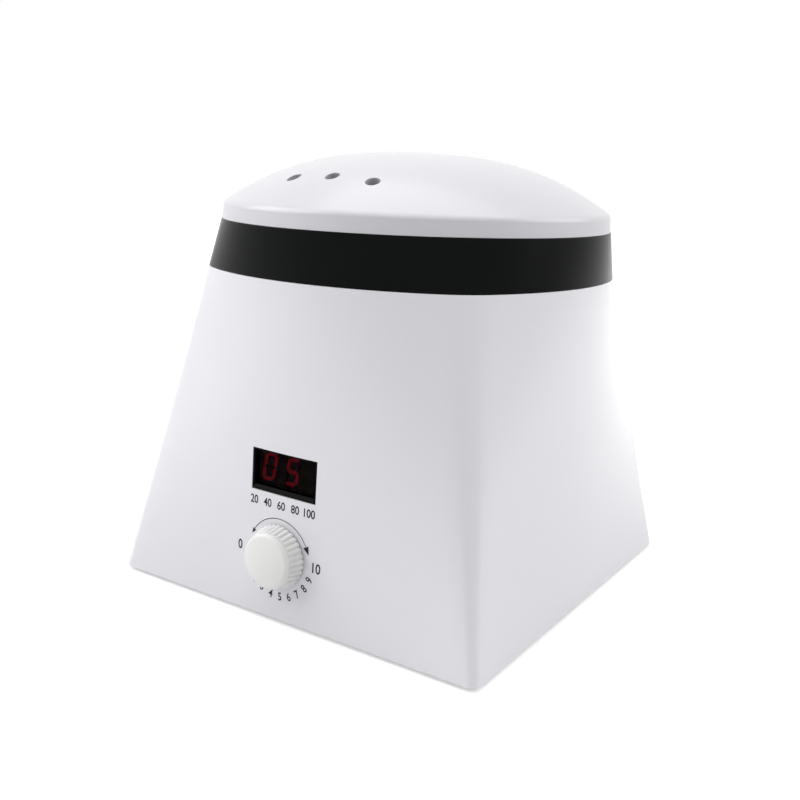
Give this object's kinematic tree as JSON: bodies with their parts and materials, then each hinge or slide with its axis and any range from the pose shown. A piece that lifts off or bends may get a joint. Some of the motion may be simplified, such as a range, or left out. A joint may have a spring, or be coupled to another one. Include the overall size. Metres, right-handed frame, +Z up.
{
  "type": "paraffin wax heater",
  "caption": "Table-top wax heater: tapered white housing, square foot to round top, black ring band, metal well, vented domed lift-off lid, red numeral display and ribbed knob.",
  "frame": {"origin": "on the table, under the middle of the lid and pot", "axes": "+Z up; -Y to the front face with the display and knob; +X to the right seen from the front"},
  "size_m": [0.16, 0.17, 0.1646],
  "materials": {
    "shell_white": "smooth moulded gloss",
    "lid_white": "smooth moulded gloss",
    "band_black": "smooth moulded satin gloss",
    "knob_white": "moulded satin",
    "bezel_black": "moulded gloss",
    "smoked_lens": "polished smoked acrylic",
    "module_black": "moulded matt",
    "lit_red": "lit epoxy",
    "unlit_bar": "unlit epoxy",
    "pot_aluminium": "spun and anodised",
    "silicone": "moulded silicone",
    "heater_jacket": "rolled sheet",
    "zinc_screw": "zinc plated",
    "glass_felt": "needled glass felt",
    "shield_steel": "galvanised sheet",
    "sensor_steel": "drawn tube",
    "foot_rubber": "moulded matt rubber",
    "base_white": "moulded fine texture",
    "board_green": "solder mask",
    "shaft_metal": "turned and plated",
    "part_black": "moulded matt",
    "relay_blue": "moulded case",
    "winding": "core and taped winding",
    "can": "sleeved can",
    "fuse_glass": "clear tube",
    "tinned_brass": "tinned",
    "terminal_green": "moulded",
    "lead_red": "silicone insulation",
    "lead_black": "silicone insulation",
    "lead_brown": "vinyl insulation",
    "ribbon_grey": "vinyl ribbon"
  },
  "bodies": {
    "housing": {"outer_shell": "shell_white", "band_ring": "band_black", "inner_pot": "pot_aluminium", "pot_gasket": "silicone", "heater_band": "heater_jacket", "clamp_screws": "zinc_screw", "clamp_nuts": "zinc_screw", "insulation_blanket": "glass_felt", "insulation_pad": "glass_felt", "heat_shield": "shield_steel", "heat_shield_screws": "zinc_screw", "sensor_plate": "shield_steel", "sensor_nut": "zinc_screw", "temperature_probe": "sensor_steel", "thermal_fuse": "sensor_steel", "base_plate": "base_white", "rubber_feet": "foot_rubber", "base_screws": "zinc_screw", "display_bezel": "bezel_black", "display_lens": "smoked_lens", "led_display": "module_black", "segments_lit": "lit_red", "segments_unlit": "unlit_bar", "control_board": "board_green", "control_board_screws": "zinc_screw", "potentiometer": "part_black", "pot_washer": "zinc_screw", "pot_nut": "zinc_screw", "power_board": "board_green", "power_board_screws": "zinc_screw", "relay": "relay_blue", "transformer": "winding", "filter_capacitor": "can", "fuse_tube": "fuse_glass", "fuse_caps": "tinned_brass", "fuse_clips": "tinned_brass", "terminal_block": "terminal_green", "cable_header": "part_black", "power_inlet": "part_black", "inlet_pins": "tinned_brass", "inlet_screws": "zinc_screw", "mains_leads": "lead_brown", "heater_leads": "lead_red", "probe_leads": "lead_black", "ribbon_cable": "ribbon_grey"},
    "lid": {"lid_cover": "lid_white"},
    "knob": {"knob": "knob_white", "knob_shaft": "shaft_metal"}
  },
  "joints": [
    {"name": "lid_lift", "type": "slide", "parent": "housing", "child": "lid", "axis": [0, 0, 1], "range_m": [0, 0.15]},
    {"name": "knob_turn", "type": "hinge", "parent": "housing", "child": "knob", "pos_m": [-0.001, -0.07902, 0.02508], "axis": [0, 0.9991, -0.0416], "range_deg": [0, 300]}
  ]
}
